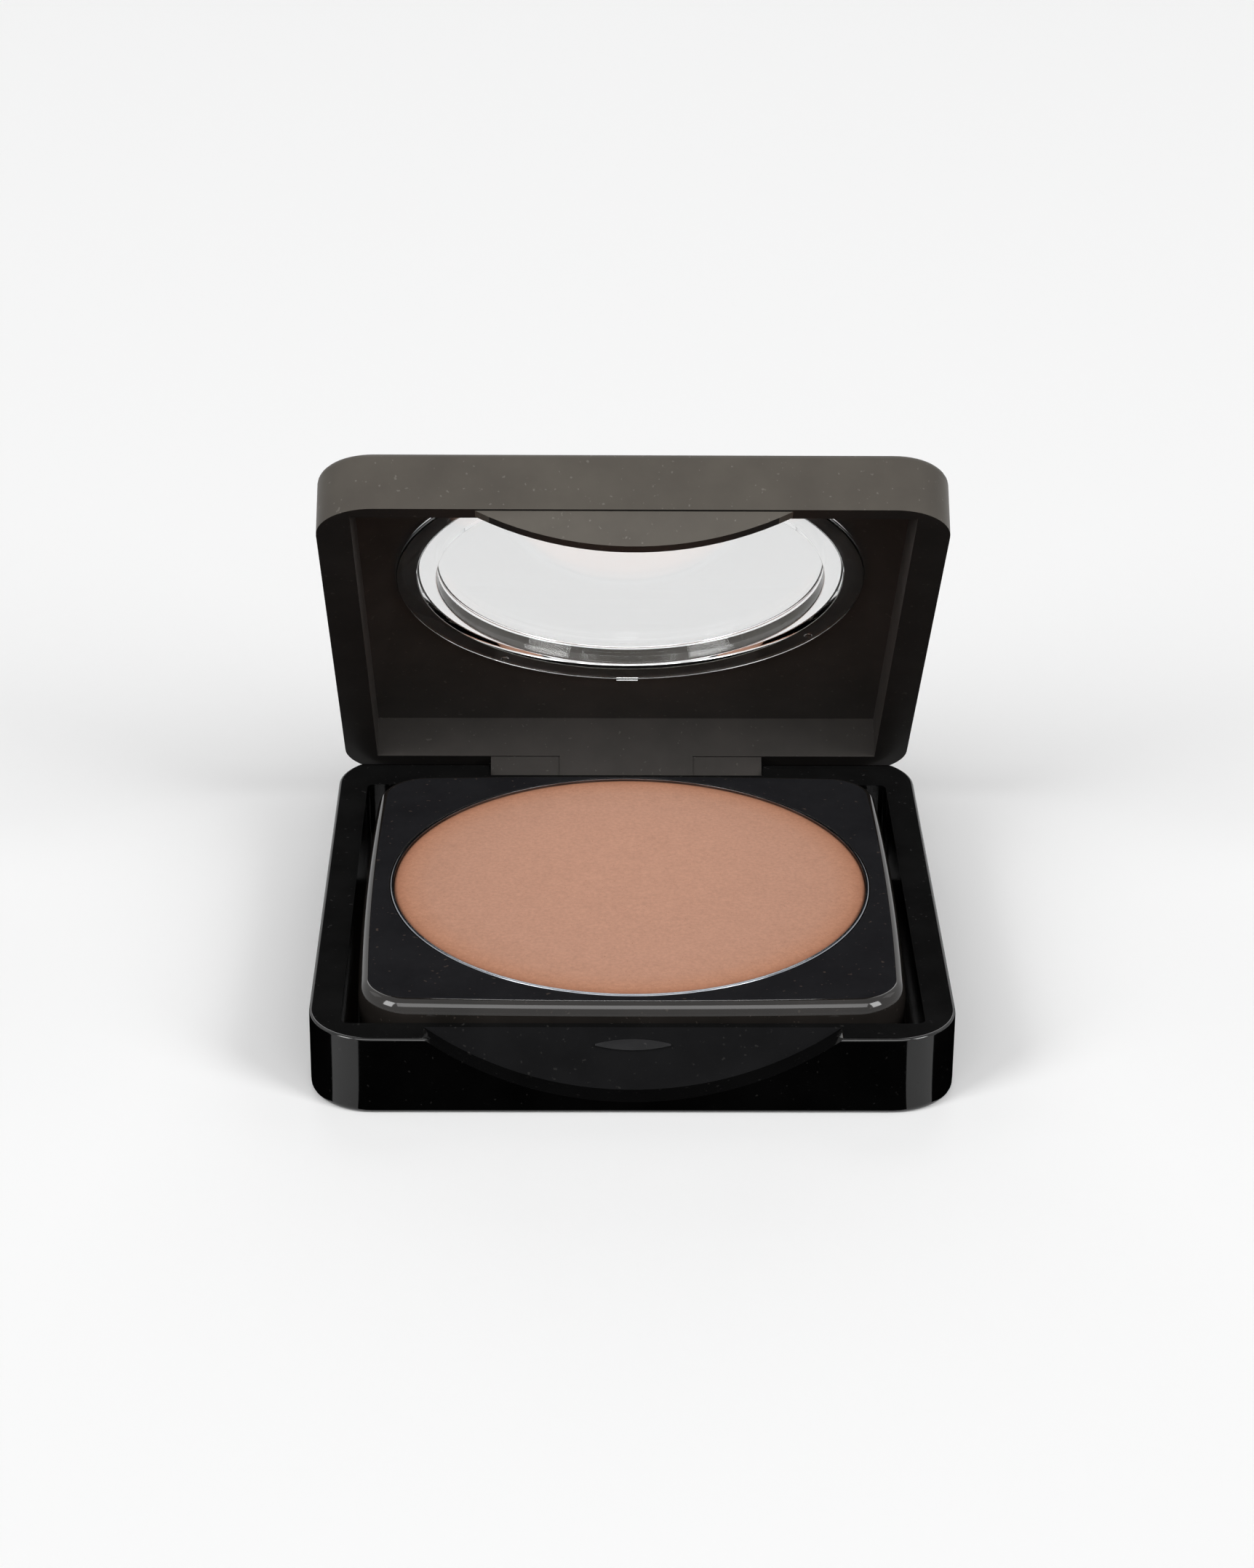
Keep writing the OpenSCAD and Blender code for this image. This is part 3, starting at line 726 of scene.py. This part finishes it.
def makeCakeTree(material, shape):
    # a grid bent into a round dome with an upright wall, and a disc that closes its underside
    tree, given, out = newTree("pressedCake", [("Radius", floatKind, 0.0185), ("Foot", floatKind, 0.00375),
        ("Edge", floatKind, 0.0077), ("Dome", floatKind, 0.0004), ("Centre Y", floatKind, 0.0),
        ("Ripple", floatKind, 0.00001), ("Rings", intKind, 90), ("Around", intKind, 256)])
    radius, foot = given["Radius"], given["Foot"]

    def calc(operation, *values):
        return mathNode(tree, operation, *values)

    grid = feed(tree, addNode(tree, "GeometryNodeMeshGrid"), Size_X=1.0, Size_Y=1.0,
        Vertices_X=calc("ADD", given["Rings"], 1.0), Vertices_Y=calc("ADD", given["Around"], 1.0))
    place = addNode(tree, "ShaderNodeSeparateXYZ")
    tree.links.new(addNode(tree, "GeometryNodeInputPosition").outputs[0], place.inputs[0])
    along = calc("ADD", place.outputs["X"], 0.5)   # 0 at the middle, 1 at the foot
    turn = calc("MULTIPLY", calc("ADD", place.outputs["Y"], 0.5), 2*math.pi)
    reach = calc("MULTIPLY", radius, calc("MINIMUM", calc("DIVIDE", along, shape["topShare"]), 1.0))
    x = calc("MULTIPLY", reach, calc("COSINE", turn))
    y = calc("MULTIPLY", reach, calc("SINE", turn))
    top = domeHeight(tree, reach, radius, given["Edge"], given["Dome"])
    spot = feed(tree, addNode(tree, "ShaderNodeCombineXYZ"), X=x, Y=y)
    noise = noiseNode(tree, spot.outputs[0], shape["rippleScale"], 3.0)
    ripple = calc("MULTIPLY", calc("SUBTRACT", noise, 0.5), given["Ripple"])
    fade = remap(tree, reach, calc("MULTIPLY", radius, shape["rippleEnds"]), radius, 1.0, 0.0)
    brink = remap(tree, reach, calc("MULTIPLY", radius, shape["crumbleFrom"]), radius, 0.0, 1.0)
    broken = calc("MULTIPLY", brink, shape["crumble"])   # the edge crumbles against the pan
    skin = calc("SUBTRACT", calc("ADD", top, calc("MULTIPLY", ripple, fade)), broken)
    down = remap(tree, along, shape["topShare"], 1.0, 0.0, 1.0)
    z = calc("ADD", calc("MULTIPLY", skin, calc("SUBTRACT", 1.0, down)), calc("MULTIPLY", foot, down))
    target = feed(tree, addNode(tree, "ShaderNodeCombineXYZ"), X=x, Y=calc("ADD", y, given["Centre Y"]), Z=z)
    shaped = feed(tree, addNode(tree, "GeometryNodeSetPosition"), Geometry=grid.outputs["Mesh"],
        Position=target.outputs[0])

    disc = feed(tree, addNode(tree, "GeometryNodeMeshCircle", fill_type="NGON"), Vertices=given["Around"],
        Radius=radius)
    low = feed(tree, addNode(tree, "ShaderNodeCombineXYZ"), Y=given["Centre Y"], Z=foot)
    moved = feed(tree, addNode(tree, "GeometryNodeTransform"), Geometry=disc.outputs[0],
        Translation=low.outputs[0])
    underside = feed(tree, addNode(tree, "GeometryNodeFlipFaces"), Mesh=moved.outputs[0])
    both = addNode(tree, "GeometryNodeJoinGeometry")
    tree.links.new(underside.outputs[0], both.inputs[0])
    tree.links.new(shaped.outputs[0], both.inputs[0])
    closed = feed(tree, addNode(tree, "GeometryNodeMergeByDistance"), Geometry=both.outputs[0], Distance=1e-6)
    closeTree(tree, out, closed.outputs[0], material)
    return tree


def makeGrainTree(material, shape):
    # flattened balls of several sizes, turned at random, on points scattered over the dome
    tree, given, out = newTree("looseGrains", [("Radius", floatKind, 0.018),
        ("Cake Radius", floatKind, 0.0185), ("Edge", floatKind, 0.0077), ("Dome", floatKind, 0.0004),
        ("Centre Y", floatKind, 0.0), ("Density", floatKind, 3e6), ("Grain", floatKind, 0.00005),
        ("Spread", floatKind, 0.00003), ("Seed", intKind, 1)])
    disc = feed(tree, addNode(tree, "GeometryNodeMeshCircle", fill_type="TRIANGLE_FAN"),
        Vertices=shape["discSides"], Radius=given["Radius"])
    points = feed(tree, addNode(tree, "GeometryNodeDistributePointsOnFaces"), Mesh=disc.outputs[0],
        Density=given["Density"], Seed=given["Seed"])
    reach = addNode(tree, "ShaderNodeVectorMath", operation="LENGTH")
    tree.links.new(addNode(tree, "GeometryNodeInputPosition").outputs[0], reach.inputs[0])
    height = domeHeight(tree, reach.outputs["Value"], given["Cake Radius"], given["Edge"], given["Dome"])
    lift = feed(tree, addNode(tree, "ShaderNodeCombineXYZ"), Y=given["Centre Y"], Z=height)
    laid = feed(tree, addNode(tree, "GeometryNodeSetPosition"), Geometry=points.outputs["Points"],
        Offset=lift.outputs[0])
    grain = feed(tree, addNode(tree, "GeometryNodeMeshIcoSphere"), Radius=1.0, Subdivisions=1)
    sizes = addNode(tree, "FunctionNodeRandomValue", data_type="FLOAT")
    half = mathNode(tree, "MULTIPLY", given["Spread"], 0.5)
    tree.links.new(mathNode(tree, "SUBTRACT", given["Grain"], half), sizes.inputs[2])   # the smallest
    tree.links.new(mathNode(tree, "ADD", given["Grain"], half), sizes.inputs[3])        # the largest
    tree.links.new(given["Seed"], sizes.inputs["Seed"])
    size = sizes.outputs[1]
    flat = feed(tree, addNode(tree, "ShaderNodeCombineXYZ"), X=size, Y=size,
        Z=mathNode(tree, "MULTIPLY", size, shape["flatness"]))
    turns = addNode(tree, "FunctionNodeRandomValue", data_type="FLOAT")
    turns.inputs[3].default_value = 2*math.pi
    tree.links.new(given["Seed"], turns.inputs["Seed"])
    turn = feed(tree, addNode(tree, "ShaderNodeCombineXYZ"), Z=turns.outputs[1])
    placed = feed(tree, addNode(tree, "GeometryNodeInstanceOnPoints"), Points=laid.outputs[0],
        Instance=grain.outputs["Mesh"], Scale=flat.outputs[0])
    tree.links.new(turn.outputs[0], placed.inputs["Rotation"])
    closeTree(tree, out, placed.outputs[0], material)
    return tree


def makePowder():
    cake = meshFromTree("powderCake", makeCakeTree(powderFace, cakeShape), powderSize)
    for face in cake.polygons:
        face.use_smooth = True
    placePiece("powderCake", cake, "base", "pressed_powder", powderFace)
    grains = meshFromTree("powderGrains", makeGrainTree(looseGrain, grainShape), grainSize)
    placePiece("powderGrains", grains, "base", None, looseGrain)
    print("grain faces", len(grains.polygons))


makePowder()

# pieces that stay as the frame has them
keptLooks = {"tray_adhesive": adhesiveFilm, "pan_adhesive": adhesiveFilm,
    "hinge_pin_left": pinSteel, "hinge_pin_right": pinSteel}
for node, material in keptLooks.items():
    nodes[node].data.materials.clear()
    nodes[node].data.materials.append(material)
print("kept nodes dressed")


# metres; paper and backdrop are what is looked at, bounce and fill what lights the pieces
studio = {"floorSize": 16.0, "paper": linear(248, 248, 248), "bounce": linear(128, 127, 125),
    "backdrop": linear(242, 242, 242), "fill": (0.12, 0.12, 0.12, 1.0), "reach": 7.0,
    # turn left of the front, height above the floor, width, height (all in degrees), share of the light
    "softboxes": {
        "frontLeft": (52, 28, 20, 28, 0.26),
        "frontRight": (-52, 28, 20, 28, 0.26),
        "frontLow": (0, 38, 54, 26, 0.32),
        "sideLeft": (105, 38, 22, 22, 0.02),
        "sideRight": (-105, 38, 22, 22, 0.02),
        "back": (180, 42, 34, 24, 0.10),
    }}


def showsBackdrop(tree):
    # 1 for what the eye, a mirror or the window looks at, 0 for light that bounces on
    path = addNode(tree, "ShaderNodeLightPath")
    seen = mathNode(tree, "MAXIMUM", path.outputs["Is Camera Ray"], path.outputs["Is Glossy Ray"])
    return mathNode(tree, "MAXIMUM", seen, path.outputs["Is Transmission Ray"])


def makeFloor(look):
    mesh = bpy.data.meshes.new("studioFloor")
    half = look["floorSize"]/2
    corners = [(-half, -half, 0), (half, -half, 0), (half, half, 0), (-half, half, 0)]
    mesh.from_pydata(corners, [], [(0, 1, 2, 3)])
    floor = bpy.data.objects.new("studioFloor", mesh)
    bpy.context.scene.collection.objects.link(floor)
    mat, tree, shader = startMaterial("studioPaper")
    tree.links.new(mixColour(tree, showsBackdrop(tree), look["bounce"], look["paper"]),
        shader.inputs["Base Color"])
    shader.inputs["Roughness"].default_value = 1.0
    shader.inputs["Specular IOR Level"].default_value = 0.0
    mesh.materials.append(mat)


def makeWorld(look):
    world = bpy.data.worlds.new("studio")
    bpy.context.scene.world = world
    world.use_nodes = True
    tree = world.node_tree
    tree.links.new(mixColour(tree, showsBackdrop(tree), look["fill"], look["backdrop"]),
        tree.nodes["Background"].inputs["Color"])


def makeSoftbox(name, look, turn, height, wide, tall, share):
    turn, height = math.radians(turn), math.radians(height)
    away, level = look["reach"], math.cos(height)
    place = Vector((-math.sin(turn)*level, -math.cos(turn)*level, math.sin(height)))*away
    lamp = bpy.data.lights.new(name, "AREA")
    lamp.shape = "RECTANGLE"
    lamp.size = 2*away*math.tan(math.radians(wide/2))
    lamp.size_y = 2*away*math.tan(math.radians(tall/2))
    lamp.energy = share*(math.pi*away)**2/math.sin(height)   # so that the shares add up on the floor
    holder = bpy.data.objects.new(name, lamp)
    bpy.context.scene.collection.objects.link(holder)
    holder.location = place
    holder.rotation_euler = (-place).to_track_quat("-Z", "Y").to_euler()


# millimetres and degrees; the gap, out, bend and in sizes shape the light strips at the corners
flagSize = {"halfWidth": 24.0, "halfDepth": 24.2, "throw": 40.0, "lift": 0.02, "colour": linear(3, 3, 3),
    "frontGap": 3.6, "fan": 25.0, "sideOut": 0.2, "bendFrom": 5.2, "bendTo": 1.0, "bendIn": 1.3,
    "slant": 0.194}


def makeFlags(look):
    # black cards lying round the base: only glossy rays see them, and they keep its sides black
    half, deep, throw, bendIn = look["halfWidth"], look["halfDepth"], look["throw"], look["bendIn"]
    across, bend = half - look["frontGap"], deep - look["bendTo"]
    back = [(across, deep), (across + throw*math.tan(math.radians(look["fan"])), deep + throw)]
    back = back + [(-x, y) for x, y in reversed(back)]
    right = [(half + look["sideOut"], deep - look["bendFrom"]), (half - bendIn, bend),
        (half + throw, bend + (throw + bendIn)*look["slant"])]
    right = right + [(x, -y) for x, y in reversed(right)]
    work = bmesh.new()
    for corners in (back, [(x, -y) for x, y in back], right, [(-x, y) for x, y in right]):
        work.faces.new([work.verts.new((x*mm, y*mm, look["lift"]*mm)) for x, y in corners])
    bmesh.ops.triangulate(work, faces=work.faces)
    mesh = bpy.data.meshes.new("studioFlags")
    work.to_mesh(mesh)
    work.free()
    card = bpy.data.objects.new("studioFlags", mesh)
    bpy.context.scene.collection.objects.link(card)
    mat, tree, shader = startMaterial("blackCard")
    shader.inputs["Base Color"].default_value = look["colour"]
    shader.inputs["Specular IOR Level"].default_value = 0.0
    mesh.materials.append(mat)
    for kind in ("camera", "diffuse", "shadow", "transmission", "volume_scatter"):
        setattr(card, "visible_" + kind, False)


makeFloor(studio)
makeFlags(flagSize)
makeWorld(studio)
for name, box in studio["softboxes"].items():
    makeSoftbox(name, studio, *box)

# millimetres and degrees, apart from near and far, which are metres
view = {"lens": 86.06, "sensor": 36.0, "distance": 291.95, "elevation": 25.531, "azimuth": -0.869,
    "roll": 0.484, "target": (-0.262, 0.0, 15.527), "near": 0.01, "far": 20.0}


def makeCamera(look):
    el, az, roll = (math.radians(look[k]) for k in ("elevation", "azimuth", "roll"))
    back = Vector((math.sin(az)*math.cos(el), -math.cos(az)*math.cos(el), math.sin(el)))
    right = Vector((math.cos(az), math.sin(az), 0))
    up = right.cross(-back)
    rolledRight = math.cos(roll)*right + math.sin(roll)*up
    rolledUp = -math.sin(roll)*right + math.cos(roll)*up
    lens = bpy.data.cameras.new("studioCamera")
    lens.lens, lens.sensor_width = look["lens"], look["sensor"]
    lens.clip_start, lens.clip_end = look["near"], look["far"]
    camera = bpy.data.objects.new("studioCamera", lens)
    bpy.context.scene.collection.objects.link(camera)
    place = (Vector(look["target"]) + back*look["distance"])*mm
    turn = Matrix((rolledRight, rolledUp, back)).transposed().to_4x4()
    camera.matrix_world = Matrix.Translation(place) @ turn
    bpy.context.scene.camera = camera


makeCamera(view)
bpy.context.scene.view_settings.view_transform = "Standard"
print("studio set")
